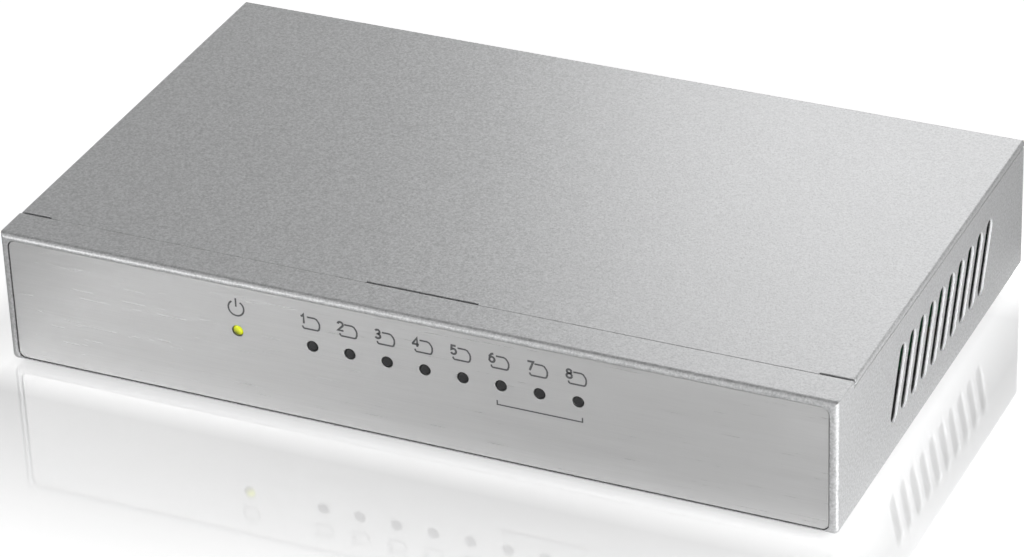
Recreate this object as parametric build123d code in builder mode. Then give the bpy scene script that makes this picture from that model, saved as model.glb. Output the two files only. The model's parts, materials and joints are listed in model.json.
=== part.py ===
"""An eight-port desktop network switch.

A folded steel tray carries the board, a separate rear panel and the front plate. A folded cover lies over the
side walls, hooks three tabs under the tray's front strip and is held by two rear screws.

Millimetres. X runs to the right seen from the front, Y to the rear and Z up. The origin is the centre of the
overall footprint, on the surface that the rubber feet stand on.
"""

import os

from build123d import *

os.makedirs("parts", exist_ok=True)

# ------------------------------------------------------------------ case
width = 160.0  # outside of the side walls
depth = 97.0  # front frame to the rear ends of the side walls
height = 26.4  # underside of the tray to the top of the cover
foot_height = 1.0  # gap that the feet leave under the tray
sheet = 0.6  # thickness of tray, cover and rear panel
bend = 1.0  # outside radius of the tray's folds
slip = 0.15  # gap round the cover
port_count = 8

# ------------------------------------------------------------------ screws
screw_r = 1.45
screw_bore_r = 1.5
screw_clear_r = 1.7
head_r = 2.7
head_height = 1.6
recess_width = 0.7
recess_length = 3.0
recess_depth = 0.9

# ------------------------------------------------------------------ places that follow
half_w = width / 2
front_y = -(depth + head_height) / 2
rear_y = front_y + depth
under_z = foot_height
floor_z = under_z + sheet
top_z = under_z + height
middle_y = (front_y + rear_y) / 2
inner_half = half_w - sheet

# ------------------------------------------------------------------ front frame, plate and lights
plate_recess = 0.8  # the frame's lip stands this far in front of the recess floor
front_wall = plate_recess + sheet
lip_side = 1.5
lip_top = 1.15
lip_bottom = 0.6
recess_r = 1.5
film = 0.1
plate_sheet = 0.5
plate_gap = 0.2
strip_depth = 7.7  # the tray's top strip, front frame to seam
strip_rear = front_y + strip_depth

led_height = 16.05  # above the tray's underside
led_pitch = 7.24
led_first_x = -18.0
led_power_x = -32.75
led_z = under_z + led_height
led_x = [led_first_x + led_pitch * i for i in range(port_count)]
light_names = ["power"] + [str(i + 1) for i in range(port_count)]
light_x = [led_power_x] + led_x
pipe_r = 1.05
plate_hole_r = 1.12
wall_hole_r = 1.5
pipe_bend = 2.6
pipe_dome = 0.45

# ------------------------------------------------------------------ vents in the side walls
vent_count = 10
vent_pitch = 5.08
vent_length = 14.3
vent_width = 3.3
vent_lean = 22.5  # degrees, the upper end further back
vent_y = front_y + 52.65
vent_z = under_z + 13.2
relief_r = 0.55
wall_end_r = 0.4  # rounding of the side walls' rear ends

# ------------------------------------------------------------------ cover
cover_half = inner_half - slip  # its flanges, inside the side walls
cover_front = strip_rear + slip
cover_flange = 5.5
cover_edge = 1.1  # the jogged edge that lies on the side walls
cover_fold = 0.45  # outside radius along the cover's edges
wall_top = top_z - cover_edge - slip
flange_start = 3.0
flange_relief = 2.2
ear_width = 11.0
ear_height = 9.6
ear_r = 2.0
cover_screw_x = half_w - 7.5
cover_screw_z = top_z - 6.2
tab_gap = 0.5  # extra opening of the seam where a tab dips under the strip
tab_reach = 4.0
tab_middle_width = 21.6
tab_end_width = 4.4
tab_end_x = half_w - 6.35 + tab_end_width / 2
tab_top = top_z - sheet - slip

# ------------------------------------------------------------------ rear panel
panel_gap = 0.1
panel_out = rear_y - sheet - panel_gap
panel_in = panel_out - sheet
panel_top = top_z - 2.5
panel_flange = 7.0
panel_notch = sheet + slip
panel_notch_z = top_z - cover_flange - 0.4
thread_collar_r = 2.4
thread_collar = 1.2
rivet_r = 1.5
rivet_head_r = 2.4
rivet_head = 0.6
rivet_x = [28.0 - half_w, 0.0, half_w - 28.0]
rivet_y = panel_in - 4.0

# ------------------------------------------------------------------ board
board_thick = 1.6
standoff_height = 4.0
board_z = floor_z + standoff_height
board_top = board_z + board_thick
board_half = half_w - 6.0
board_front = front_y + front_wall + 2.0
board_rear = panel_in - 0.6
standoff_flats = 5.5
standoff_shank_r = 2.1
standoff_x = board_half - 5.0
standoff_front_y = board_front + 16.0
standoff_rear_y = board_rear - 24.0
standoff_spots = [(x, y) for x in (-standoff_x, standoff_x) for y in (standoff_front_y, standoff_rear_y)]

pipe_y = board_front + 4.6
lamp_size = (1.6, 1.0, 0.7)
pipe_foot = board_top + lamp_size[2] + 0.1

# ------------------------------------------------------------------ eight-way jack
port_pitch = 13.97
shield = 0.3
jack_x = 6.0
jack_width = port_count * port_pitch + 1.8
jack_height = 13.1
jack_depth = 20.4
jack_proud = 0.6  # in front of the rear panel
mouth_y = panel_out + jack_proud
port_x = [jack_x + port_pitch * (i - (port_count - 1) / 2) for i in range(port_count)]
port_wall = 2.17  # plastic between neighbouring ports
port_width = port_pitch - port_wall
port_height = 6.9
port_floor = board_top + 4.3
port_ceiling = port_floor + port_height
port_depth = 13.0
latch_width = 6.2
latch_depth = 1.4
catch_width = 3.6
catch_depth = 0.8
contact_count = 8
contact_pitch = 1.02
contact_width = 0.4
contact_thick = 0.3
contact_slot = 1.0
contact_pivot_r = 0.25
contact_play = 0.05  # between a spring's round front end and the wire that carries it
contact_front = 3.0
contact_tip = 10.0
contact_dip = 1.9
jack_clear = 0.35

# ------------------------------------------------------------------ power jack
power_width = 9.0
power_gap = 6.72  # from the eight-way jack
power_x = jack_x - jack_width / 2 - power_gap - power_width / 2
power_height = 11.0
power_depth = 14.2
power_bore_r = 3.2
power_bore_depth = 10.0
power_axis_z = board_top + 6.5
power_pin_r = 1.0
power_pin_length = 9.0
power_clear = 0.3
leaf_width = 2.2
leaf_thick = 0.3
leaf_length = 8.0

# ------------------------------------------------------------------ board components
lead_thick = 0.25
lead_foot = 0.9
magnetics_size = (15.4, 11.6, 5.8)
magnetics_clear = 5.2  # from the jack's shield
magnetics_y = mouth_y - jack_depth - 2 * shield - magnetics_clear - magnetics_size[1] / 2
magnetics_x = [jack_x + port_pitch * 2 * (i - 1.5) for i in range(port_count // 2)]
magnetics_pins = 8
magnetics_pin_pitch = 1.8
network_y = magnetics_y - magnetics_size[1] / 2 - 3.6  # termination networks
chip_size = 14.0
chip_thick = 1.4
chip_lift = 0.15
chip_pins = 16
chip_pin_pitch = 0.8
chip_centre = (jack_x, network_y - 7.1 - chip_size / 2)
decoupling_y = chip_centre[1] - chip_size / 2 - 3.5
small_chip_size = (4.9, 3.9, 1.4)
small_pins = 4
small_pin_pitch = 1.27
memory_centre = (chip_centre[0] - 20.0, chip_centre[1] + 1.0)
crystal_centre = (chip_centre[0] + 18.0, chip_centre[1])
crystal_size = (11.2, 4.6, 3.5)
bulk_r = 4.0
bulk_tall = 11.5
filter_r = 3.15
filter_tall = 7.7
bulk_centre = (power_x + 2.0, mouth_y - power_depth - 12.5 - bulk_r)
filter_x = jack_x - 44.0
filter_y = network_y - 3.0 - filter_r
filter_spacing = 9.0
capacitor_spots = [
    (*bulk_centre, bulk_r, bulk_tall),
    (filter_x, filter_y, filter_r, filter_tall),
    (filter_x, filter_y - filter_spacing, filter_r, filter_tall),
]
inductor_size = 7.3
inductor_thick = 4.2
inductor_centre = (bulk_centre[0], bulk_centre[1] - bulk_r - 12.5 - inductor_size / 2)
regulator_centre = (filter_x - 9.0, filter_y - filter_spacing - 3.5)
passive_size = (1.6, 0.8, 0.5)

# ------------------------------------------------------------------ feet and wall slots
foot_r = 5.0
foot_sunk = 0.3
foot_edge = 0.3
foot_in = 14.0
foot_front_in = 12.5
foot_rear_in = 14.5
foot_spots = [(x, y) for x in (foot_in - half_w, half_w - foot_in) for y in (front_y + foot_front_in, rear_y - foot_rear_in)]
keyhole_spacing = 90.0
keyhole_y = middle_y + 8.0
keyhole_entry_r = 3.6
keyhole_slot_r = 1.9
keyhole_run = 6.5


def block(low, high, mode=Mode.ADD):
    """Adds or cuts the box between two corners."""
    size = [b - a for a, b in zip(low, high)]
    middle = [(a + b) / 2 for a, b in zip(low, high)]
    with Locations(tuple(middle)):
        Box(*size, mode=mode)


def finish(piece, node):
    """Labels a finished piece and writes it."""
    piece.part.label = node
    export_step(piece.part, f"parts/{node}.step")


def pan_screw(seat, length):
    """Adds a cross-head screw: its head stands on the plane and its shank runs behind it."""
    with BuildSketch(seat) as head:
        Circle(head_r)
    extrude(head.sketch, amount=head_height, taper=18)
    with BuildSketch(seat) as shank:
        Circle(screw_r)
    extrude(shank.sketch, amount=-length)
    with BuildSketch(seat.offset(head_height)) as recess:
        Rectangle(recess_length, recess_width)
        Rectangle(recess_width, recess_length)
    extrude(recess.sketch, amount=-recess_depth, mode=Mode.SUBTRACT)


def lead_rows(centre, reach, count, pitch, rise, lead_width, along_x=True):
    """Adds two rows of bent leads, one on each side of a package, each lead a solid of its own."""
    for side in (-1, 1):
        leg = side * (reach + lead_thick / 2)
        foot = side * (reach + lead_foot / 2)
        if along_x:
            with Locations((centre[0], centre[1] + leg, board_top + rise / 2)):
                with GridLocations(pitch, 1, count, 1):
                    Box(lead_width, lead_thick, rise)
            with Locations((centre[0], centre[1] + foot, board_top + lead_thick / 2)):
                with GridLocations(pitch, 1, count, 1):
                    Box(lead_width, lead_foot, lead_thick)
        else:
            with Locations((centre[0] + leg, centre[1], board_top + rise / 2)):
                with GridLocations(1, pitch, 1, count):
                    Box(lead_thick, lead_width, rise)
            with Locations((centre[0] + foot, centre[1], board_top + lead_thick / 2)):
                with GridLocations(1, pitch, 1, count):
                    Box(lead_foot, lead_width, lead_thick)


# ================================================================== tray
front_plane = Plane.XZ.offset(-front_y)  # looks out of the front; local Y is up
under_plane = Plane.XY.offset(under_z)
recess_width_x = width - 2 * lip_side
recess_height_z = height - lip_top - lip_bottom
recess_middle_z = under_z + lip_bottom + recess_height_z / 2

with BuildPart() as tray:
    block((-half_w, front_y, under_z), (half_w, rear_y, top_z))
    uprights = tray.edges().filter_by(Axis.Z).group_by(Axis.Y)[0]
    bottom_round = tray.edges().group_by(Axis.Z)[0].sort_by(Axis.Y)[:-1]
    top_front = tray.edges().filter_by(Axis.X).group_by(Axis.Y)[0].sort_by(Axis.Z)[-1]
    fillet([*uprights, *bottom_round, top_front], radius=bend)
    block(
        (-inner_half, front_y + front_wall, floor_z),
        (inner_half, rear_y + sheet, top_z - sheet),
        Mode.SUBTRACT,
    )
    # the mouth that the cover closes, behind the front strip, with the side walls cut down for its edges
    block((-half_w, strip_rear, wall_top), (half_w, rear_y, top_z), Mode.SUBTRACT)
    wall_ends = tray.edges().filter_by(Axis.Z).group_by(Axis.Y)[-1]
    fillet([e for e in wall_ends if abs(e.center().X) > half_w - sheet / 2], radius=wall_end_r)
    # the sunk floor that the front plate is stuck to
    with BuildSketch(front_plane):
        with Locations((0, recess_middle_z)):
            RectangleRounded(recess_width_x, recess_height_z, recess_r)
    extrude(amount=-plate_recess, mode=Mode.SUBTRACT)
    with BuildSketch(front_plane):
        with Locations(*[(x, led_z) for x in light_x]):
            Circle(wall_hole_r)
    extrude(amount=-front_wall, mode=Mode.SUBTRACT)
    # vents, through both side walls at once
    with BuildSketch(Plane.YZ):
        with Locations((vent_y, vent_z)):
            with GridLocations(vent_pitch, 1, vent_count, 1):
                SlotOverall(vent_length, vent_width, rotation=90 - vent_lean)
        with Locations((rear_y, wall_top)):
            Circle(relief_r)
    extrude(amount=width, both=True, mode=Mode.SUBTRACT)
    # underside: foot pockets, standoff and rivet holes, wall slots
    with BuildSketch(under_plane):
        with Locations(*foot_spots):
            Circle(foot_r + slip)
    extrude(amount=foot_sunk, mode=Mode.SUBTRACT)
    with BuildSketch(under_plane):
        with Locations(*standoff_spots):
            Circle(standoff_shank_r)
        with Locations(*[(x, rivet_y) for x in rivet_x]):
            Circle(rivet_r)
        with Locations((0, keyhole_y)):
            with GridLocations(keyhole_spacing, 1, 2, 1):
                Circle(keyhole_entry_r)
        with Locations((0, keyhole_y + keyhole_run / 2)):
            with GridLocations(keyhole_spacing, 1, 2, 1):
                SlotCenterToCenter(keyhole_run, 2 * keyhole_slot_r, rotation=90)
    extrude(amount=sheet, mode=Mode.SUBTRACT)
finish(tray, "chassis_tray")

# ================================================================== cover
tab_spans = [
    (-tab_end_x, tab_end_width),
    (0.0, tab_middle_width),
    (tab_end_x, tab_end_width),
]

flange_in = cover_half - sheet

with BuildPart() as cover:
    block((-half_w, cover_front, top_z - cover_edge), (half_w, rear_y, top_z))
    long_edges = cover.edges().filter_by(Axis.Y).group_by(Axis.Z)[-1]
    rear_fold = cover.edges().filter_by(Axis.X).group_by(Axis.Y)[-1].sort_by(Axis.Z)[-1]
    fillet([*long_edges, rear_fold], radius=cover_fold)
    block(
        (-flange_in, cover_front - sheet, under_z),
        (flange_in, rear_y - sheet, top_z - sheet),
        Mode.SUBTRACT,
    )
    block((-cover_half, rear_y - sheet, top_z - cover_flange), (cover_half, rear_y, top_z - cover_edge))
    for side in (-1, 1):
        # each side flange starts behind the cover's front edge and stops short of its rear fold
        left, right = sorted((side * flange_in, side * cover_half))
        block(
            (left, cover_front + flange_start, top_z - cover_flange),
            (right, rear_y - flange_relief, top_z - cover_edge),
        )
        # ear that takes the screw
        ear_out = side * cover_half
        ear_in = side * (cover_half - ear_width)
        left, right = sorted((ear_out, ear_in))
        block((left, rear_y - sheet, top_z - ear_height), (right, rear_y, top_z - cover_flange))
    ear_corners = (
        cover.edges().filter_by(Axis.Y).filter_by_position(Axis.Z, top_z - ear_height - slip, top_z - ear_height + slip)
    )
    fillet(ear_corners, radius=ear_r)
    with BuildSketch(Plane.XZ.offset(-rear_y)):
        with Locations((-cover_screw_x, cover_screw_z), (cover_screw_x, cover_screw_z)):
            Circle(screw_clear_r)
    extrude(amount=sheet, mode=Mode.SUBTRACT)
    # each tab steps down behind the seam and runs forward under the strip; the end ones take the corners with them
    for x, span in tab_spans:
        outer = half_w + sheet if abs(x) > span else span / 2
        left, right = sorted((x - span / 2 if x >= 0 else x + span / 2, outer if x >= 0 else -outer))
        block(
            (left, cover_front - sheet, top_z - sheet),
            (right, cover_front + tab_gap, top_z + sheet),
            Mode.SUBTRACT,
        )
        block(
            (x - span / 2, strip_rear - tab_reach, tab_top - sheet),
            (x + span / 2, cover_front + tab_gap + sheet, tab_top),
        )
        block(
            (x - span / 2, cover_front + tab_gap, tab_top - sheet),
            (x + span / 2, cover_front + tab_gap + sheet, top_z - sheet),
        )
finish(cover, "top_cover")

# ================================================================== rear panel
panel_half = inner_half - panel_gap
power_cut_z = board_top + power_height / 2

with BuildPart() as panel:
    block((-panel_half, panel_in - panel_flange, floor_z), (panel_half, panel_out, panel_top))
    block(
        (-panel_half + sheet, panel_in - panel_flange - sheet, floor_z + sheet),
        (panel_half - sheet, panel_in, top_z),
        Mode.SUBTRACT,
    )
    lower_fold = panel.edges().filter_by(Axis.X).group_by(Axis.Y)[-1].sort_by(Axis.Z)[0]
    fillet(lower_fold, radius=bend - slip)
    for side in (-1, 1):
        left, right = sorted((side * (panel_half + sheet), side * (panel_half - panel_notch)))
        block((left, panel_in - 2 * panel_flange, panel_notch_z), (right, rear_y, top_z), Mode.SUBTRACT)
    # collars drawn inwards for the cover screws' threads
    with BuildSketch(Plane.XZ.offset(-panel_in)):
        with Locations((-cover_screw_x, cover_screw_z), (cover_screw_x, cover_screw_z)):
            Circle(thread_collar_r)
    extrude(amount=thread_collar)
    with BuildSketch(Plane.XZ.offset(-panel_out)):
        with Locations((-cover_screw_x, cover_screw_z), (cover_screw_x, cover_screw_z)):
            Circle(screw_bore_r)
    extrude(amount=sheet + thread_collar, mode=Mode.SUBTRACT)
    with BuildSketch(Plane.XZ.offset(-panel_out)):
        with Locations((jack_x, board_top + (jack_height + shield) / 2)):
            RectangleRounded(
                jack_width + 2 * shield + 2 * jack_clear, jack_height + shield + 2 * jack_clear, jack_clear
            )
        with Locations((power_x, power_cut_z)):
            RectangleRounded(power_width + 2 * power_clear, power_height + 2 * power_clear, jack_clear)
    extrude(amount=sheet, mode=Mode.SUBTRACT)
    with BuildSketch(Plane.XY.offset(floor_z)):
        with Locations(*[(x, rivet_y) for x in rivet_x]):
            Circle(rivet_r)
    extrude(amount=sheet, mode=Mode.SUBTRACT)
finish(panel, "rear_panel")

# ================================================================== front plate and its film
film_plane = Plane.XZ.offset(-(front_y + plate_recess))
plate_plane = Plane.XZ.offset(-(front_y + plate_recess - film))

with BuildPart() as film_sheet:
    with BuildSketch(film_plane):
        with Locations((0, recess_middle_z)):
            RectangleRounded(recess_width_x - 6 * plate_gap, recess_height_z - 6 * plate_gap, recess_r - plate_gap)
        with Locations(*[(x, led_z) for x in light_x]):
            Circle(wall_hole_r, mode=Mode.SUBTRACT)
    extrude(amount=film)
finish(film_sheet, "plate_adhesive")

with BuildPart() as plate:
    with BuildSketch(plate_plane):
        with Locations((0, recess_middle_z)):
            RectangleRounded(recess_width_x - 2 * plate_gap, recess_height_z - 2 * plate_gap, recess_r - plate_gap)
        with Locations(*[(x, led_z) for x in light_x]):
            Circle(plate_hole_r, mode=Mode.SUBTRACT)
    extrude(amount=plate_sheet)
finish(plate, "front_plate")

# ================================================================== light pipes, their holder and the lamps
pipe_tip = front_y + plate_recess - film - plate_sheet
for name, x in zip(light_names, light_x):
    with BuildPart() as pipe:
        with BuildLine(Plane.YZ.offset(x)) as route:
            FilletPolyline((pipe_y, pipe_foot), (pipe_y, led_z), (pipe_tip, led_z), radius=pipe_bend)
        with BuildSketch(Plane.XY.offset(pipe_foot)):
            with Locations((x, pipe_y)):
                Circle(pipe_r)
        sweep(path=route.wires()[0])
        fillet(pipe.edges().filter_by(GeomType.CIRCLE).sort_by(Axis.Y)[0], radius=pipe_dome)
    finish(pipe, f"light_pipe_{name}")

holder_front = front_y + front_wall + 0.3
holder_rear = holder_front + 2.2
holder_half_height = 2.3
holder_ends = (light_x[0] - 4.5, light_x[-1] + 4.5)
holder_leg = 2.4
holder_peg_r = 0.8
holder_peg_y = board_front + 1.6
holder_peg_spots = [(x + s * holder_leg / 2, holder_peg_y) for x, s in zip(holder_ends, (1, -1))]

with BuildPart() as holder:
    block(
        (holder_ends[0], holder_front, led_z - holder_half_height),
        (holder_ends[1], holder_rear, led_z + holder_half_height),
    )
    for x, side in zip(holder_ends, (1, -1)):
        left, right = sorted((x, x + side * holder_leg))
        block((left, holder_front + 0.6, board_top), (right, holder_peg_y + holder_peg_r + 0.4, led_z))
    with BuildSketch(Plane.XY.offset(board_z)):
        with Locations(*holder_peg_spots):
            Circle(holder_peg_r)
    extrude(amount=board_thick)
    with BuildSketch(Plane.XZ.offset(-holder_front)):
        with Locations(*[(x, led_z) for x in light_x]):
            Circle(pipe_r + 0.06)
    extrude(amount=-(holder_rear - holder_front), mode=Mode.SUBTRACT)
finish(holder, "pipe_holder")

with BuildPart() as lamps:
    with Locations(*[(x, pipe_y, board_top + lamp_size[2] / 2) for x in light_x]):
        Box(*lamp_size)
finish(lamps, "lamps")

# ================================================================== circuit board
with BuildPart() as board:
    block((-board_half, board_front, board_z), (board_half, board_rear, board_top))
    with BuildSketch(Plane.XY.offset(board_z)):
        with Locations(*standoff_spots):
            Circle(screw_clear_r)
        with Locations(*holder_peg_spots):
            Circle(holder_peg_r + 0.05)
    extrude(amount=board_thick, mode=Mode.SUBTRACT)
finish(board, "circuit_board")

with BuildPart() as standoffs:
    with BuildSketch(Plane.XY.offset(floor_z)):
        with Locations(*standoff_spots):
            RegularPolygon(standoff_flats / 2, 6, major_radius=False)
    extrude(amount=standoff_height)
    with BuildSketch(under_plane):
        with Locations(*standoff_spots):
            Circle(standoff_shank_r - slip / 3)
    extrude(amount=sheet)
    with BuildSketch(under_plane):
        with Locations(*standoff_spots):
            Circle(screw_bore_r)
    extrude(amount=sheet + standoff_height, mode=Mode.SUBTRACT)
finish(standoffs, "standoffs")

with BuildPart() as board_screws:
    for x, y in standoff_spots:
        pan_screw(Plane((x, y, board_top)), board_thick + standoff_height - 0.5)
finish(board_screws, "board_screws")

with BuildPart() as cover_screws:
    for x in (-cover_screw_x, cover_screw_x):
        pan_screw(Plane(origin=(x, rear_y, cover_screw_z), z_dir=(0, 1, 0)), rear_y - panel_in + thread_collar - 0.2)
finish(cover_screws, "cover_screws")

with BuildPart() as rivets:
    with BuildSketch(under_plane):
        with Locations(*[(x, rivet_y) for x in rivet_x]):
            Circle(rivet_r - slip / 3)
    extrude(amount=2 * sheet)
    with BuildSketch(Plane.XY.offset(floor_z + sheet)):
        with Locations(*[(x, rivet_y) for x in rivet_x]):
            Circle(rivet_head_r)
    extrude(amount=rivet_head, taper=30)
    with BuildSketch(under_plane):
        with Locations(*[(x, rivet_y) for x in rivet_x]):
            Circle(rivet_head_r)
    extrude(amount=-rivet_head, taper=30)
finish(rivets, "panel_rivets")

# ================================================================== eight-way jack
mouth_plane = Plane.XZ.offset(-mouth_y)  # extruding forwards from here runs into the jack


def port_profile(grow=0.0):
    """Draws the eight port openings, each with its two latch steps, on a plane across the jack."""
    with Locations(*[(x, port_floor + port_height / 2) for x in port_x]):
        Rectangle(port_width + 2 * grow, port_height + 2 * grow)
    with Locations(*[(x, port_floor - latch_depth / 2) for x in port_x]):
        Rectangle(latch_width + 2 * grow, latch_depth + 2 * grow)
    with Locations(*[(x, port_floor - latch_depth - catch_depth / 2) for x in port_x]):
        Rectangle(catch_width + 2 * grow, catch_depth + 2 * grow)


housing_front = mouth_y - shield
slot_width = (contact_count - 1) * contact_pitch + 2 * contact_width
with BuildPart() as housing:
    block(
        (jack_x - jack_width / 2, housing_front - jack_depth, board_top),
        (jack_x + jack_width / 2, housing_front, board_top + jack_height),
    )
    with BuildSketch(Plane.XZ.offset(-housing_front)):
        port_profile()
    extrude(amount=port_depth, mode=Mode.SUBTRACT)
    # pocket over each port that the sprung contacts lie in
    for x in port_x:
        block(
            (x - slot_width / 2, housing_front - port_depth, port_ceiling),
            (x + slot_width / 2, housing_front - contact_front + contact_slot, port_ceiling + contact_slot),
            Mode.SUBTRACT,
        )
finish(housing, "jack_housing")

with BuildPart() as shell:
    outer_half = jack_width / 2 + shield
    block(
        (jack_x - outer_half, housing_front - jack_depth - shield, board_top),
        (jack_x + outer_half, mouth_y, board_top + jack_height + shield),
    )
    block(
        (jack_x - jack_width / 2, housing_front - jack_depth, board_top - sheet),
        (jack_x + jack_width / 2, housing_front, board_top + jack_height),
        Mode.SUBTRACT,
    )
    with BuildSketch(mouth_plane):
        port_profile(grow=jack_clear)
    extrude(amount=shield, mode=Mode.SUBTRACT)
finish(shell, "jack_shield")

contact_root_y = housing_front - port_depth
contact_pivot_y = housing_front - contact_front
contact_level = port_ceiling + contact_slot - contact_thick / 2 - slip
contact_pivot_z = contact_level - contact_thick / 2 - contact_play - contact_pivot_r
contact_run = contact_tip - contact_front
contact_drop = contact_pivot_z - port_ceiling + contact_dip
wire_offsets = [contact_pitch * (i - (contact_count - 1) / 2) for i in range(contact_count)]

# the fixed part of each wire runs forward along the pocket over its port
with BuildPart() as contact_wires:
    for x in port_x:
        for offset in wire_offsets:
            wire = x + offset
            block(
                (wire - contact_width / 2, contact_root_y, contact_level - contact_thick / 2),
                (wire + contact_width / 2, contact_pivot_y, contact_level + contact_thick / 2),
            )
finish(contact_wires, "contact_wires")

# the sprung part turns about the front end of the fixed part and slopes back into the port
for number, x in enumerate(port_x, start=1):
    with BuildPart() as contacts:
        for offset in wire_offsets:
            wire = x + offset
            with BuildSketch(Plane.YZ.offset(wire - contact_width / 2)):
                with Locations((contact_pivot_y, contact_pivot_z)):
                    Circle(contact_pivot_r)
                with BuildLine():
                    Polyline(
                        (contact_pivot_y, contact_pivot_z + contact_thick / 2),
                        (contact_pivot_y - contact_run, contact_pivot_z - contact_drop + contact_thick / 2),
                        (contact_pivot_y - contact_run, contact_pivot_z - contact_drop - contact_thick / 2),
                        (contact_pivot_y, contact_pivot_z - contact_thick / 2),
                        close=True,
                    )
                make_face()
            extrude(amount=contact_width)
    finish(contacts, f"contacts_{number}")

# ================================================================== power jack
power_front = mouth_y
with BuildPart() as power_body:
    block(
        (power_x - power_width / 2, power_front - power_depth, board_top),
        (power_x + power_width / 2, power_front, board_top + power_height),
    )
    with BuildSketch(mouth_plane):
        with Locations((power_x, power_axis_z)):
            Circle(power_bore_r)
    extrude(amount=power_bore_depth, mode=Mode.SUBTRACT)
    block(
        (power_x - leaf_width / 2 - slip, power_front - power_bore_depth, power_axis_z - power_bore_r - 2 * leaf_thick),
        (power_x + leaf_width / 2 + slip, power_front - 1.5, power_axis_z - power_bore_r + leaf_thick),
        Mode.SUBTRACT,
    )
finish(power_body, "power_jack_body")

with BuildPart() as power_pin:
    with BuildSketch(Plane.XZ.offset(-(power_front - power_bore_depth))):
        with Locations((power_x, power_axis_z)):
            Circle(power_pin_r)
    extrude(amount=-power_pin_length)
    fillet(power_pin.edges().sort_by(Axis.Y)[-1], radius=power_pin_r * 0.6)
finish(power_pin, "power_jack_pin")

with BuildPart() as power_leaf:
    leaf_z = power_axis_z - power_bore_r - 2 * leaf_thick
    block(
        (power_x - leaf_width / 2, power_front - power_bore_depth, leaf_z),
        (power_x + leaf_width / 2, power_front - power_bore_depth + leaf_length, leaf_z + leaf_thick),
    )
finish(power_leaf, "power_jack_leaf")

# ================================================================== board components
with BuildPart() as switch_chip:
    with BuildSketch(Plane.XY.offset(board_top + chip_lift)):
        with Locations(chip_centre):
            Rectangle(chip_size, chip_size)
    extrude(amount=chip_thick)
    chamfer(switch_chip.edges().group_by(Axis.Z)[-1], length=0.3)
finish(switch_chip, "switch_chip")

with BuildPart() as chip_leads:
    for along_x in (True, False):
        lead_rows(chip_centre, chip_size / 2, chip_pins, chip_pin_pitch, 0.8, 0.32, along_x)
finish(chip_leads, "switch_chip_leads")

for number, x in enumerate(magnetics_x, start=1):
    with BuildPart() as magnetics:
        with BuildSketch(Plane.XY.offset(board_top + lead_thick)):
            with Locations((x, magnetics_y)):
                Rectangle(*magnetics_size[:2])
        extrude(amount=magnetics_size[2])
        chamfer(magnetics.edges().group_by(Axis.Z)[-1], length=0.4)
    finish(magnetics, f"magnetics_{number}")

with BuildPart() as magnetics_leads:
    for x in magnetics_x:
        lead_rows((x, magnetics_y), magnetics_size[1] / 2, magnetics_pins, magnetics_pin_pitch, 2.2, 0.6)
finish(magnetics_leads, "magnetics_leads")

for number, (x, y, radius, tall) in enumerate(capacitor_spots, start=1):
    with BuildPart() as can:
        with BuildSketch(Plane.XY.offset(board_top)):
            with Locations((x, y)):
                Circle(radius)
        extrude(amount=tall)
        # the crimped groove round the foot, and the scored top
        with BuildSketch(Plane.XY.offset(board_top + 1.4)):
            with Locations((x, y)):
                Circle(radius + sheet)
                Circle(radius - 0.25, mode=Mode.SUBTRACT)
        extrude(amount=0.5, mode=Mode.SUBTRACT)
        fillet(can.edges().group_by(Axis.Z)[-1], radius=0.4)
        with BuildSketch(Plane.XY.offset(board_top + tall)):
            with Locations((x, y)):
                Rectangle(1.3 * radius, 0.3)
                Rectangle(0.3, 1.3 * radius)
        extrude(amount=-0.2, mode=Mode.SUBTRACT)
    finish(can, f"capacitor_{number}")

with BuildPart() as inductor:
    with BuildSketch(Plane.XY.offset(board_top)):
        with Locations(inductor_centre):
            RectangleRounded(inductor_size, inductor_size, 1.6)
    extrude(amount=inductor_thick)
    with BuildSketch(Plane.XY.offset(board_top + inductor_thick)):
        with Locations(inductor_centre):
            Circle(inductor_size * 0.38)
            Circle(inductor_size * 0.32, mode=Mode.SUBTRACT)
    extrude(amount=-0.5, mode=Mode.SUBTRACT)
finish(inductor, "power_inductor")

for centre, node in ((regulator_centre, "regulator_chip"), (memory_centre, "memory_chip")):
    with BuildPart() as small_chip:
        with BuildSketch(Plane.XY.offset(board_top + chip_lift)):
            with Locations(centre):
                Rectangle(*small_chip_size[:2])
        extrude(amount=small_chip_size[2])
        chamfer(small_chip.edges().group_by(Axis.Z)[-1], length=0.25)
    finish(small_chip, node)

with BuildPart() as small_leads:
    for centre in (regulator_centre, memory_centre):
        lead_rows(centre, small_chip_size[1] / 2, small_pins, small_pin_pitch, 0.8, 0.42)
finish(small_leads, "small_chip_leads")

with BuildPart() as crystal:
    with BuildSketch(Plane.XY.offset(board_top)):
        with Locations(crystal_centre):
            SlotOverall(crystal_size[0], crystal_size[1], rotation=90)
    extrude(amount=0.4)
    with BuildSketch(Plane.XY.offset(board_top + 0.4)):
        with Locations(crystal_centre):
            SlotOverall(crystal_size[0] - 0.8, crystal_size[1] - 0.8, rotation=90)
    extrude(amount=crystal_size[2] - 0.4)
    fillet(crystal.edges().group_by(Axis.Z)[-1], radius=0.5)
finish(crystal, "crystal")

passive_z = board_top + passive_size[2] / 2
with BuildPart() as passives:
    # termination networks between the chip and the magnetics, and a decoupling row in front of the chip
    with Locations((jack_x, network_y, passive_z)):
        with GridLocations(port_pitch / 4, 1.8, 4 * port_count, 2):
            Box(passive_size[1], passive_size[0] * 0.75, passive_size[2])
    with Locations((chip_centre[0], decoupling_y, passive_z)):
        with GridLocations(3.0, 1, 8, 1):
            Box(*passive_size)
    # one series resistor beside each lamp
    with Locations(*[(x, pipe_y + 3.4, passive_z) for x in light_x]):
        Box(*passive_size)
finish(passives, "chip_passives")

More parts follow.
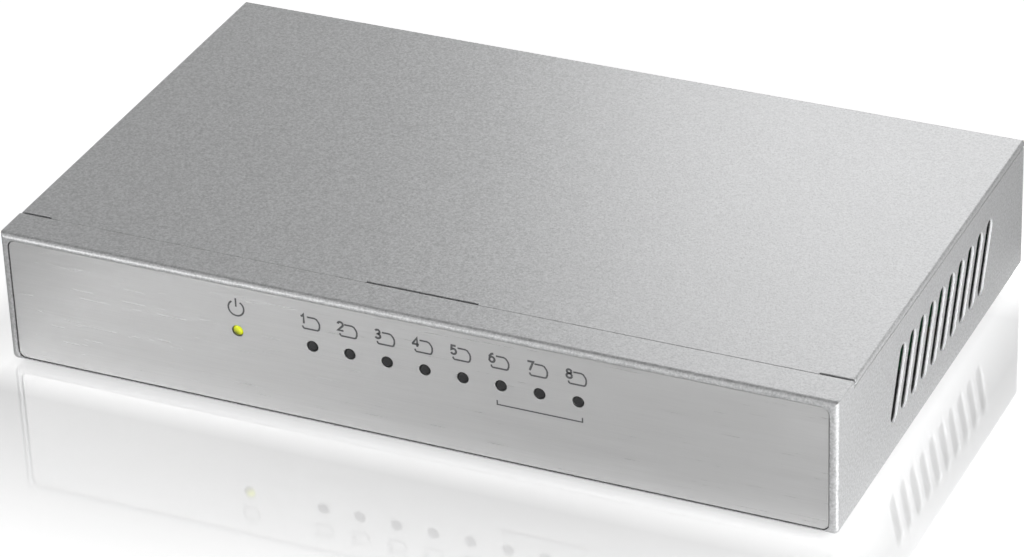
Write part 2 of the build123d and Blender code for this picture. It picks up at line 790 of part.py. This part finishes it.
# ================================================================== rubber feet
for (x, y), place in zip(foot_spots, ("front_left", "rear_left", "front_right", "rear_right")):
    with BuildPart() as foot:
        with BuildSketch(Plane.XY):
            with Locations((x, y)):
                Circle(foot_r)
        extrude(amount=foot_height + foot_sunk)
        fillet(foot.edges().group_by(Axis.Z)[0], radius=foot_edge)
    finish(foot, f"foot_{place}")
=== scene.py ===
import json
import math

import bpy
from mathutils import Matrix, Vector


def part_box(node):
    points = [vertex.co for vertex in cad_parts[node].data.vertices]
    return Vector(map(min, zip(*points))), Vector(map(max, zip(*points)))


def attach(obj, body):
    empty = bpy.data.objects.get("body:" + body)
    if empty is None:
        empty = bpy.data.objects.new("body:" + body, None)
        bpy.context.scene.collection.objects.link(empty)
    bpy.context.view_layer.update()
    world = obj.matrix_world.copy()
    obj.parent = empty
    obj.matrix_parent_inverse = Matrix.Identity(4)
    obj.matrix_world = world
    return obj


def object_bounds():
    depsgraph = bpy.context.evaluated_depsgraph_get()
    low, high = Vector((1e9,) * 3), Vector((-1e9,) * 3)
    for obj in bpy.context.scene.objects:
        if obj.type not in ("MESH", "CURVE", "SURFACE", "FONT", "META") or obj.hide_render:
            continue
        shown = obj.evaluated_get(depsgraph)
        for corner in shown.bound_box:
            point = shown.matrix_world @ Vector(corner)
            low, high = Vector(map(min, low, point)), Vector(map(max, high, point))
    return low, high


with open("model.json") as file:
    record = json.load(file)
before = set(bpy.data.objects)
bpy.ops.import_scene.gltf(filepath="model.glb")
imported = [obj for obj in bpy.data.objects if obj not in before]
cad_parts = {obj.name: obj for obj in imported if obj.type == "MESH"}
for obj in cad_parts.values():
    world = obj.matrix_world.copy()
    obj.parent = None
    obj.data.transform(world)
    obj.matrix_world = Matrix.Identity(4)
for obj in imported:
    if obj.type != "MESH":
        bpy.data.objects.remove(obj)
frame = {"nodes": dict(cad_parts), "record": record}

cad_low, cad_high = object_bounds()
MM = 0.001

# ------------------------------------------------------------------ node helpers


class Shader:
    """A node material under construction: the helpers each add a node and hand back its output socket."""

    def __init__(self, name):
        self.mat = bpy.data.materials.new(name)
        self.mat.use_nodes = True
        self.tree = self.mat.node_tree
        self.bsdf = self.tree.nodes["Principled BSDF"]
        coords = self.tree.nodes.new("ShaderNodeTexCoord")
        self.place = coords.outputs["Object"]
        self.facing = coords.outputs["Normal"]

    def new(self, kind, **values):
        node = self.tree.nodes.new(kind)
        for key, value in values.items():
            setattr(node, key, value)
        return node

    def link(self, source, target):
        self.tree.links.new(source, target)

    def put(self, socket, value):
        """Links a socket into the input, or writes a plain value on it."""
        if isinstance(value, bpy.types.NodeSocket):
            self.link(value, socket)
        else:
            socket.default_value = value

    def scaled(self, scale):
        """The place on the object with each coordinate multiplied, which stretches a texture."""
        node = self.new("ShaderNodeMapping")
        node.inputs["Scale"].default_value = scale
        self.link(self.place, node.inputs["Vector"])
        return node.outputs["Vector"]

    def noise(self, scale, detail=3.0, rough=0.5, vector=None):
        node = self.new("ShaderNodeTexNoise")
        self.link(vector or self.place, node.inputs["Vector"])
        node.inputs["Scale"].default_value = scale
        node.inputs["Detail"].default_value = detail
        node.inputs["Roughness"].default_value = rough
        return node.outputs["Fac"]

    def cells(self, scale):
        node = self.new("ShaderNodeTexVoronoi")
        self.link(self.place, node.inputs["Vector"])
        node.inputs["Scale"].default_value = scale
        return node.outputs["Distance"]

    def span(self, value, low, high, out_low=0.0, out_high=1.0):
        """The value mapped from one range to another, held at both ends."""
        node = self.new("ShaderNodeMapRange")
        self.put(node.inputs["Value"], value)
        set_range(node, low, high, out_low, out_high)
        return node.outputs["Result"]

    def calc(self, operation, a, b=0.0):
        node = self.new("ShaderNodeMath", operation=operation)
        self.put(node.inputs[0], a)
        self.put(node.inputs[1], b)
        return node.outputs["Value"]

    def mix(self, factor, a, b):
        """Colour a where the factor is 0 and colour b where it is 1."""
        node = self.new("ShaderNodeMix", data_type="RGBA")
        self.put(node.inputs[0], factor)
        for socket, value in ((node.inputs[6], a), (node.inputs[7], b)):
            self.put(socket, value if isinstance(value, bpy.types.NodeSocket) else (*value, 1.0))
        return node.outputs[2]

    def axis(self, name, vector=None):
        """One coordinate of the place on the object, or of another vector."""
        parts = self.new("ShaderNodeSeparateXYZ")
        self.link(vector or self.place, parts.inputs["Vector"])
        return parts.outputs[name]

    def within(self, value, low, high):
        """1 where the value lies between the two limits, else 0."""
        soft = 0.02 * MM
        rise = self.span(value, low - soft, low)
        return self.calc("MULTIPLY", rise, self.span(value, high, high + soft, 1.0, 0.0))

    def round_edges(self, radius):
        """(rounded surface's normal, mask that rises to 1 where that normal turns away from the flat one)."""
        bevel = self.new("ShaderNodeBevel", samples=4)
        bevel.inputs["Radius"].default_value = radius
        flat = self.new("ShaderNodeNewGeometry")
        dot = self.new("ShaderNodeVectorMath", operation="DOT_PRODUCT")
        self.link(bevel.outputs["Normal"], dot.inputs[0])
        self.link(flat.outputs["Normal"], dot.inputs[1])
        return bevel.outputs["Normal"], self.span(dot.outputs["Value"], 0.995, 0.86)

    def bump(self, height, distance, strength, normal=None):
        node = self.new("ShaderNodeBump")
        node.inputs["Distance"].default_value = distance
        node.inputs["Strength"].default_value = strength
        self.link(height, node.inputs["Height"])
        if normal is not None:
            self.link(normal, node.inputs["Normal"])
        return node.outputs["Normal"]

    def surface(self, **inputs):
        """Writes the Principled inputs, underscores for spaces, and hands back the material."""
        for key, value in inputs.items():
            self.put(self.bsdf.inputs[key.replace("_", " ")], value)
        return self.mat


def set_range(node, low, high, out_low, out_high):
    for key, number in zip(("From Min", "From Max", "To Min", "To Max"), (low, high, out_low, out_high)):
        node.inputs[key].default_value = number


def grey(value, tint=(1.0, 1.0, 1.0)):
    return tuple(value * t for t in tint)


def shade(colour, factor, lift=0.0):
    return tuple(min(1.0, c * factor + lift) for c in colour)


# ------------------------------------------------------------------ materials


def coated(name, level, slot_highlight_box=None):
    """Silver-grey paint: an even metallic grain, faint mottling, rounded edges worn a little brighter.

    The last argument is a pair of corners: inside that box, faces that don't look sideways are the walls of a
    punched slot, painted near white and hardly metallic: bare punched metal in part, painted highlight in
    part.
    """
    grain, metal, rough = 0.27, 0.75, 0.42
    slot_highlight_level, slot_highlight_metal = 0.9, 0.1
    tint = (0.993, 1.0, 1.009)
    s = Shader(name)
    fine = s.noise(2100.0, 2.0, 0.7)
    flake = s.span(s.cells(2600.0), 0.1, 0.6)
    slow = s.noise(70.0, 2.0)
    amount = s.calc("ADD", s.span(fine, 0.34, 0.66, 0.0, 0.7), s.calc("MULTIPLY", flake, 0.3))
    body = s.mix(amount, grey(level * (1 - grain), tint), grey(level * (1 + grain), tint))
    body = s.mix(s.span(slow, 0.35, 0.7, 0.0, 0.06), body, grey(level * 0.8, tint))
    normal, edge = s.round_edges(0.16 * MM)
    wear = s.calc("MULTIPLY", edge, s.span(s.noise(700.0, 3.0, 0.6), 0.35, 0.65, 0.3, 1.0))
    body = s.mix(s.calc("MULTIPLY", wear, 0.35), body, grey(min(level * 1.3, 0.9), tint))
    relief = s.calc("ADD", fine, s.calc("MULTIPLY", flake, 0.5))
    # painted highlight: inside the box the slot walls turn near white and hardly metallic, in part as bare
    # punched metal
    if slot_highlight_box is not None:
        slot_highlight_mask = s.span(s.calc("ABSOLUTE", s.axis("X", s.facing)), 0.3, 0.5, 1.0, 0.0)
        places = (s.calc("ABSOLUTE", s.axis("X")), s.axis("Y"), s.axis("Z"))
        for place, low, high in zip(places, *slot_highlight_box):
            slot_highlight_mask = s.calc("MULTIPLY", slot_highlight_mask, s.within(place, low, high))
        body = s.mix(slot_highlight_mask, body, grey(slot_highlight_level, tint))
        metal = s.span(slot_highlight_mask, 0.0, 1.0, metal, slot_highlight_metal)
    return s.surface(
        Base_Color=body,
        Metallic=metal,
        Roughness=s.span(s.noise(2100.0, 2.0), 0.3, 0.7, rough - 0.04, rough + 0.05),
        Normal=s.bump(relief, 0.022 * MM, 0.6, normal),
    )


def brushed(name, level):
    """Metal brushed along X: long fine streaks in colour, roughness and relief."""
    rough, streak = 0.34, 0.05
    s = Shader(name)
    fine = s.noise(5200.0, 3.0, 0.65, s.scaled((0.016, 1.0, 1.0)))
    broad = s.noise(900.0, 3.0, 0.6, s.scaled((0.05, 1.0, 1.0)))
    slow = s.noise(22.0, 2.0)
    lines = s.calc("ADD", s.calc("MULTIPLY", fine, 0.6), s.calc("MULTIPLY", broad, 0.4))
    body = s.mix(s.span(lines, 0.36, 0.64), grey(level * (1 - streak)), grey(level * (1 + streak)))
    body = s.mix(s.span(slow, 0.4, 0.7, 0.0, 0.5), body, grey(level * 0.97))
    normal, edge = s.round_edges(0.1 * MM)
    body = s.mix(s.calc("MULTIPLY", edge, 0.3), body, grey(min(1.0, level * 1.25)))
    return s.surface(
        Base_Color=body,
        Metallic=0.9,
        Roughness=s.span(lines, 0.35, 0.65, rough - 0.07, rough + 0.1),
        Anisotropic=0.5,
        Normal=s.bump(lines, 0.006 * MM, 0.8, normal),
    )


def plated(name, colour, rough=0.22, mottling=900.0):
    """Plated or drawn metal with faint tarnish and fine scratches."""
    s = Shader(name)
    cloud = s.noise(mottling, 3.0, 0.6)
    scratch = s.noise(3000.0, 2.0, 0.7, s.scaled((1.0, 0.08, 1.0)))
    normal, edge = s.round_edges(0.06 * MM)
    body = s.mix(s.span(cloud, 0.35, 0.7), shade(colour, 0.86), colour)
    return s.surface(
        Base_Color=s.mix(s.calc("MULTIPLY", edge, 0.4), body, shade(colour, 1.25)),
        Metallic=1.0,
        Roughness=s.span(cloud, 0.3, 0.7, rough - 0.04, rough + 0.1),
        Normal=s.bump(scratch, 0.004 * MM, 0.5, normal),
    )


def moulded(name, colour, rough=0.5, grain=0.012, scale=1500.0):
    """Moulded plastic, resin or rubber with a fine spark-eroded grain and slight shade variation."""
    s = Shader(name)
    fine = s.noise(scale, 3.0, 0.6)
    slow = s.noise(120.0, 2.0)
    normal, edge = s.round_edges(0.08 * MM)
    body = s.mix(s.span(slow, 0.35, 0.7), shade(colour, 0.85), shade(colour, 1.1))
    return s.surface(
        Base_Color=s.mix(s.calc("MULTIPLY", edge, 0.35), body, shade(colour, 1.5, 0.02)),
        Roughness=s.span(fine, 0.3, 0.7, rough - 0.07, rough + 0.08),
        Normal=s.bump(fine, grain * MM, 0.6, normal),
    )


def board_skin(name):
    """Solder mask over copper: tracks show as slightly lighter lines, with a few through-hole pads."""
    mask, track, pad = (0.012, 0.085, 0.035), (0.022, 0.15, 0.06), (0.45, 0.36, 0.16)
    s = Shader(name)
    lanes = s.new("ShaderNodeTexBrick")
    s.link(s.place, lanes.inputs["Vector"])
    lanes.inputs["Scale"].default_value = 260.0
    lanes.inputs["Mortar Size"].default_value = 0.06
    lanes.inputs["Mortar Smooth"].default_value = 0.1
    dots = s.span(s.cells(330.0), 0.16, 0.12)
    gate = s.span(s.noise(60.0, 2.0), 0.5, 0.56)
    body = s.mix(s.calc("MULTIPLY", lanes.outputs["Fac"], gate), mask, track)
    return s.surface(
        Base_Color=s.mix(s.calc("MULTIPLY", dots, s.span(s.noise(90.0, 1.0), 0.55, 0.6)), body, pad),
        Roughness=0.32,
        Normal=s.bump(lanes.outputs["Fac"], 0.02 * MM, 0.4),
    )


def lit_lens(name, centre_x, centre_z):
    """Yellow-green lens lit from behind, with painted dome shading: a painted highlight on its upper right,
    painted shade in deeper olive on its lower left.
    """
    painted_shade_olive, painted_highlight_yellow, spark = (0.07, 0.08, 0.001), (0.66, 0.72, 0.012), (0.8, 0.84, 0.12)
    s = Shader(name)
    across = s.calc("SUBTRACT", s.axis("X"), centre_x)
    up = s.calc("SUBTRACT", s.axis("Z"), centre_z)
    lean = s.calc("ADD", s.calc("MULTIPLY", across, 0.62), s.calc("MULTIPLY", up, 0.78))
    speck = s.noise(1800.0, 2.0)
    # painted highlight towards the upper right and painted shade towards the lower left, in both colour and
    # glow
    colour = s.mix(s.span(lean, -0.65 * MM, 0.45 * MM), painted_shade_olive, painted_highlight_yellow)
    colour = s.mix(s.span(speck, 0.5, 0.75, 0.0, 0.2), colour, spark)
    return s.surface(
        Base_Color=colour,
        Roughness=0.16,
        Emission_Color=colour,
        Emission_Strength=0.35,
        Normal=s.bump(speck, 0.01 * MM, 0.4),
    )


def ink(name):
    """Screen-printed dark grey ink, a little uneven in cover."""
    s = Shader(name)
    cover = s.noise(4200.0, 3.0, 0.6)
    return s.surface(
        Base_Color=s.mix(s.span(cover, 0.35, 0.7), (0.065, 0.066, 0.07), (0.12, 0.121, 0.125)),
        Roughness=0.55,
        Normal=s.bump(cover, 0.004 * MM, 0.4),
    )


def middle_x(node):
    low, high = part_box(node)
    return (low[0] + high[0]) / 2


# the lights' row: the power light's pipe is round, so half its width is its radius
pipe_low, pipe_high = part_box("light_pipe_power")
power_x = middle_x("light_pipe_power")
lights_z = pipe_high[2] - (pipe_high[0] - pipe_low[0]) / 2

# the two vent rows, mirrored in x, whose slot walls get a painted highlight: the outer part of the wall's
# thickness, along the row, and up the slots
VENT_ROWS = ((79.62 * MM, -27.0 * MM, 5.0 * MM), (80.1 * MM, 34.0 * MM, 23.5 * MM))

looks = {
    "case_paint": coated("case_paint", 0.47, VENT_ROWS),
    "cover_paint": coated("cover_paint", 0.47),
    "rear_paint": coated("rear_paint", 0.46),
    "front_brushed": brushed("front_brushed", 0.58),
    "adhesive": moulded("adhesive", (0.02, 0.02, 0.02), 0.8),
    "holder_plastic": moulded("holder_plastic", (0.02, 0.02, 0.021), 0.55),
    "lamp_plastic": moulded("lamp_plastic", (0.75, 0.74, 0.62), 0.25, 0.004),
    "lens_lit": lit_lens("lens_lit", power_x, lights_z),
    "lens_dark": moulded("lens_dark", (0.008, 0.008, 0.009), 0.34, 0.006, 2200.0),
    "board_green": board_skin("board_green"),
    "brass": plated("brass", (0.62, 0.44, 0.16), 0.3),
    "screw_steel": plated("screw_steel", (0.60, 0.60, 0.60), 0.24),
    "rivet_steel": plated("rivet_steel", (0.52, 0.52, 0.53), 0.36),
    "jack_plastic": moulded("jack_plastic", (0.014, 0.014, 0.016), 0.46),
    "shield_tin": plated("shield_tin", (0.60, 0.59, 0.57), 0.27, mottling=260.0),
    "contact_gold": plated("contact_gold", (0.86, 0.58, 0.19), 0.2),
    "contact_nickel": plated("contact_nickel", (0.62, 0.60, 0.56), 0.2),
    "chip_black": moulded("chip_black", (0.016, 0.016, 0.018), 0.58, 0.02),
    "lead_tin": plated("lead_tin", (0.66, 0.66, 0.65), 0.3),
    "capacitor_can": plated("capacitor_can", (0.62, 0.63, 0.64), 0.28),
    "ferrite": moulded("ferrite", (0.05, 0.05, 0.054), 0.62, 0.03),
    "crystal_can": plated("crystal_can", (0.70, 0.70, 0.69), 0.2),
    "passive_ceramic": moulded("passive_ceramic", (0.18, 0.12, 0.07), 0.5),
    "foot_rubber": moulded("foot_rubber", (0.018, 0.018, 0.018), 0.8, 0.03, 900.0),
}
for entry in frame["record"]["subparts"]:
    for socket in frame["nodes"][entry["node"]].material_slots:
        socket.material = looks[entry["material_slot"]]

# ------------------------------------------------------------------ printed marks on the front plate
# Marks are drawn in millimetres as (x, z) across the plate, from each light's centre.
PRINT_GAP = 0.012 * MM
STROKE = 0.34
DIGIT_STROKE = 0.42
BRACKET_STROKE = 0.27
JACK_OUTLINE = [
    (-0.75, 5.85), (0.7, 5.85), (1.1, 5.68), (1.5, 5.1), (1.62, 4.7), (1.6, 4.1), (1.42, 3.6), (1.15, 3.45),
    (-1.4, 3.45), (-1.6, 3.6), (-1.72, 3.95),
]
DIGIT_CORNER = (-2.1, 4.42)
POWER_RISE = 4.65
POWER_RADIUS = 1.52
POWER_BAR = (0.3, 2.05)
BRACKET_ENDS = (-0.85, 0.7)
BRACKET_TOP = 3.05
BRACKET_DEPTH = 0.9

print_ink = ink("print_ink")
plate_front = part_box("front_plate")[0][1]
row_z = lights_z / MM
port_xs = [middle_x(f"light_pipe_{port}") / MM for port in range(1, 9)]


def flat_piece(name, verts, faces):
    """A printed mark from points (x, z) in millimetres, lying just in front of the plate."""
    mesh = bpy.data.meshes.new(name)
    mesh.from_pydata([(x * MM, plate_front - PRINT_GAP, z * MM) for x, z in verts], [], faces)
    mesh.update()
    mesh.materials.append(print_ink)
    obj = bpy.data.objects.new(name, mesh)
    bpy.context.scene.collection.objects.link(obj)
    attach(obj, "case")


def stroke(points, width):
    """(vertices, faces) of a ribbon of even width along the points, with mitred corners."""
    pts = [Vector(p) for p in points]
    ways = [(b - a).normalized() for a, b in zip(pts, pts[1:])]
    verts = []
    for p, into, out in zip(pts, ways[:1] + ways, ways + ways[-1:]):
        across = Vector((-into[1] - out[1], into[0] + out[0])).normalized()
        lean = max(0.5, across.dot(Vector((-out[1], out[0]))))
        verts += [tuple(p + across * (width / 2 / lean)), tuple(p - across * (width / 2 / lean))]
    return verts, [(2 * i, 2 * i + 1, 2 * i + 3, 2 * i + 2) for i in range(len(ways))]


def bowl(centre, width, height, start, end, steps=10):
    """Points round an ellipse, the angles in degrees from +X towards +Z."""
    angles = [math.radians(start + (end - start) * i / steps) for i in range(steps + 1)]
    return [(centre[0] + width / 2 * math.cos(a), centre[1] + height / 2 * math.sin(a)) for a in angles]


def join(parts):
    """One (vertices, faces) pair out of several."""
    verts, faces = [], []
    for v, f in parts:
        faces += [tuple(len(verts) + k for k in face) for face in f]
        verts += v
    return verts, faces


def moved(points, x, z):
    return [(x + dx, z + dz) for dx, dz in points]


# power symbol over its light: a ring open at the top, with a bar in the opening
ring = bowl((0.0, 0.0), 2 * POWER_RADIUS, 2 * POWER_RADIUS, 122, 418, 40)
bar = [(0.0, end) for end in POWER_BAR]
flat_piece("mark_power", *join([
    stroke(moved(line, power_x / MM, row_z + POWER_RISE), STROKE) for line in (ring, bar)
]))

# jack outline over each port's light
for port, x in enumerate(port_xs, start=1):
    flat_piece(f"mark_jack_{port}", *stroke(moved(JACK_OUTLINE, x, row_z), STROKE))

# bracket under the last three lights
left, right_end = port_xs[5] + BRACKET_ENDS[0], port_xs[7] + BRACKET_ENDS[1]
bracket = [(left, 0.0), (left, -BRACKET_DEPTH), (right_end, -BRACKET_DEPTH), (right_end, 0.0)]
flat_piece("mark_group", *stroke(moved(bracket, 0.0, row_z - BRACKET_TOP), BRACKET_STROKE))

# port numbers, drawn as strokes in a box 1.15 wide and 1.9 high
DIGITS = {
    1: [[(0.12, 1.42), (0.42, 1.5), (0.68, 1.88), (0.68, 0.0)]],
    2: [[*bowl((0.57, 1.32), 1.0, 1.0, 170, -35), (0.1, 0.12), (1.15, 0.12)]],
    3: [[*bowl((0.52, 1.4), 0.86, 0.84, 155, -90), *bowl((0.54, 0.54), 1.0, 0.9, 90, -155)]],
    4: [[(0.86, 0.0), (0.86, 1.8), (0.05, 0.62), (0.05, 0.5), (1.2, 0.5)]],
    5: [[(1.02, 1.78), (0.24, 1.78), (0.16, 1.0), *bowl((0.54, 0.62), 1.0, 1.08, 130, -155)]],
    6: [[(0.92, 1.8), (0.55, 1.72), (0.16, 1.25), *bowl((0.58, 0.6), 0.98, 1.04, 175, -185, 18)]],
    7: [[(0.05, 1.78), (1.12, 1.78), (0.42, 0.0)]],
    8: [bowl((0.57, 1.42), 0.84, 0.76, 0, 360, 14), bowl((0.57, 0.54), 1.0, 0.9, 0, 360, 16)],
}
for port, x in enumerate(port_xs, start=1):
    lines = [moved(line, x + DIGIT_CORNER[0], row_z + DIGIT_CORNER[1]) for line in DIGITS[port]]
    flat_piece(f"mark_digit_{port}", *join([stroke(line, DIGIT_STROKE) for line in lines]))

# ------------------------------------------------------------------ floor


def past_footprint(s):
    """Distance on the floor from the object's footprint, 0 under it."""
    squares = []
    for name, half in (("X", (cad_high[0] - cad_low[0]) / 2), ("Y", (cad_high[1] - cad_low[1]) / 2)):
        past = s.calc("MAXIMUM", s.calc("SUBTRACT", s.calc("ABSOLUTE", s.axis(name)), half), 0.0)
        squares.append(s.calc("POWER", past, 2.0))
    return s.calc("SQRT", s.calc("ADD", *squares))


def studio_floor(name):
    """Matt white that turns glossy towards the object, except behind it and to its far left.

    To the camera it is lifted to the background's white, less so where it mirrors the object. A narrow glow
    lights the floor right beside the object.
    """
    polish, polish_reach = 0.42, 85.0 * MM
    rear_start, rear_end = 30.0 * MM, 60.0 * MM
    left_end, left_start = -100.0 * MM, -80.0 * MM
    lift_matt, lift_polished = 0.62, 0.10
    rim_glow, rim_start, rim_end = 0.3, 1.0 * MM, 9.0 * MM
    s = Shader(name)
    away = past_footprint(s)
    near = s.span(away, 0.0, polish_reach, polish, 0.0)
    near = s.calc("MULTIPLY", near, s.span(s.axis("Y"), rear_start, rear_end, 1.0, 0.0))
    near = s.calc("MULTIPLY", near, s.span(s.axis("X"), left_end, left_start, 0.0, 1.0))
    matt = s.new("ShaderNodeBsdfDiffuse")
    tone = s.mix(s.span(s.noise(6.0, 2.0), 0.3, 0.7), grey(0.84), grey(0.86))
    s.put(matt.inputs["Color"], tone)
    gloss = s.new("ShaderNodeBsdfGlossy")
    gloss.inputs["Color"].default_value = (0.97, 0.97, 0.97, 1.0)
    gloss.inputs["Roughness"].default_value = 0.055
    both = s.new("ShaderNodeMixShader")
    s.put(both.inputs[0], near)
    s.link(matt.outputs[0], both.inputs[1])
    s.link(gloss.outputs[0], both.inputs[2])
    lift = s.new("ShaderNodeEmission")
    seen = s.new("ShaderNodeLightPath").outputs["Is Camera Ray"]
    to_camera = s.calc("MULTIPLY", s.span(near, 0.0, polish, lift_matt, lift_polished), seen)
    s.put(lift.inputs["Strength"], s.calc("ADD", to_camera, s.span(away, rim_start, rim_end, rim_glow, 0.0)))
    total = s.new("ShaderNodeAddShader")
    s.link(both.outputs[0], total.inputs[0])
    s.link(lift.outputs[0], total.inputs[1])
    s.link(total.outputs[0], s.tree.nodes["Material Output"].inputs["Surface"])
    s.tree.nodes.remove(s.bsdf)
    return s.mat


FLOOR_SIZE = 6.0
bpy.ops.mesh.primitive_plane_add(size=FLOOR_SIZE, location=(0, 0, 0))
floor = bpy.context.object
floor.name = "floor"
floor.data.materials.append(studio_floor("floor"))

# ------------------------------------------------------------------ light


def studio_world(name):
    """White to the camera. As light it is weak in front of the object and grows towards the back (+Y)."""
    weak, strong = 0.2, 0.76
    world = bpy.data.worlds.new(name)
    world.use_nodes = True
    sky = world.node_tree
    heading = sky.nodes.new("ShaderNodeTexCoord")
    split = sky.nodes.new("ShaderNodeSeparateXYZ")
    ramp = sky.nodes.new("ShaderNodeMapRange")
    set_range(ramp, 0.0, 1.0, weak, strong)
    seen = sky.nodes.new("ShaderNodeLightPath")
    level = sky.nodes.new("ShaderNodeMath")
    level.operation = "MAXIMUM"
    background = sky.nodes["Background"]
    background.inputs["Color"].default_value = (1.0, 1.0, 1.0, 1.0)
    for source, target in (
        (heading.outputs["Generated"], split.inputs["Vector"]),
        (split.outputs["Y"], ramp.inputs["Value"]),
        (ramp.outputs["Result"], level.inputs[0]),
        (seen.outputs["Is Camera Ray"], level.inputs[1]),
        (level.outputs["Value"], background.inputs["Strength"]),
    ):
        sky.links.new(source, target)
    return world


def softbox(name, place, target, size, power):
    """A rectangular area light in metres and watts, aimed at the target and unseen by the camera."""
    data = bpy.data.lights.new(name, "AREA")
    data.shape = "RECTANGLE"
    data.size, data.size_y = size
    data.energy = power
    obj = bpy.data.objects.new(name, data)
    obj.location = place
    obj.rotation_mode = "QUATERNION"
    obj.rotation_quaternion = (Vector(target) - Vector(place)).to_track_quat("-Z", "Y")
    obj.visible_camera = False
    bpy.context.scene.collection.objects.link(obj)


bpy.context.scene.world = studio_world("studio")
softbox("light_back", (-0.02, 0.32, 0.22), (0.07, 0.0, 0.02), (0.20, 0.14), 0.2)
softbox("light_side", (0.22, -0.07, 0.05), (0.08, -0.04, 0.01), (0.12, 0.12), 0.34)
softbox("light_vents", (0.20, -0.30, 0.06), (0.08, 0.0, 0.015), (0.08, 0.08), 0.26)
softbox("light_rear", (-0.30, 0.50, 0.07), (0.0, 0.05, 0.015), (0.25, 0.12), 0.12)
softbox("light_front", (-0.24, -0.40, 0.14), (-0.07, -0.05, 0.01), (0.18, 0.14), 0.47)
softbox("light_rim", (-0.19, -0.27, 0.42), (0.0, -0.04, 0.02), (0.30, 0.05), 0.22)
softbox("light_strip", (0.0, -0.16, 0.10), (0.0, -0.14, 0.0), (0.30, 0.06), 0.03)

# ------------------------------------------------------------------ camera
# The view turns round the aim point: azimuth from the front, elevation above the floor, roll about the
# line of sight. The slide moves the camera across its own view.
IMAGE_WIDTH = 1024
FOCAL_PIXELS = 4429.8
azimuth, elevation, roll = (math.radians(angle) for angle in (25.324, 30.592, -2.283))
distance = 0.8089
slide_x, slide_y = 1.724 * MM, 5.196 * MM
aim = Vector((0.0, 0.0, 13.5 * MM))

level_out = Vector((math.sin(azimuth), -math.cos(azimuth), 0.0))
back = level_out * math.cos(elevation) + Vector((0.0, 0.0, math.sin(elevation)))
right = Vector((math.cos(azimuth), math.sin(azimuth), 0.0))
up = back.cross(right)
view_x = math.cos(roll) * right + math.sin(roll) * up
view_y = -math.sin(roll) * right + math.cos(roll) * up

camera_data = bpy.data.cameras.new("camera")
camera_data.sensor_width = 36.0
camera_data.lens = FOCAL_PIXELS * camera_data.sensor_width / IMAGE_WIDTH
camera_data.clip_start, camera_data.clip_end = 0.01, 20.0
camera = bpy.data.objects.new("camera", camera_data)
camera.matrix_world = Matrix((view_x, view_y, back)).transposed().to_4x4()
camera.location = aim + back * distance - view_x * slide_x - view_y * slide_y
bpy.context.scene.collection.objects.link(camera)
bpy.context.scene.camera = camera
bpy.context.scene.view_settings.view_transform = "Standard"
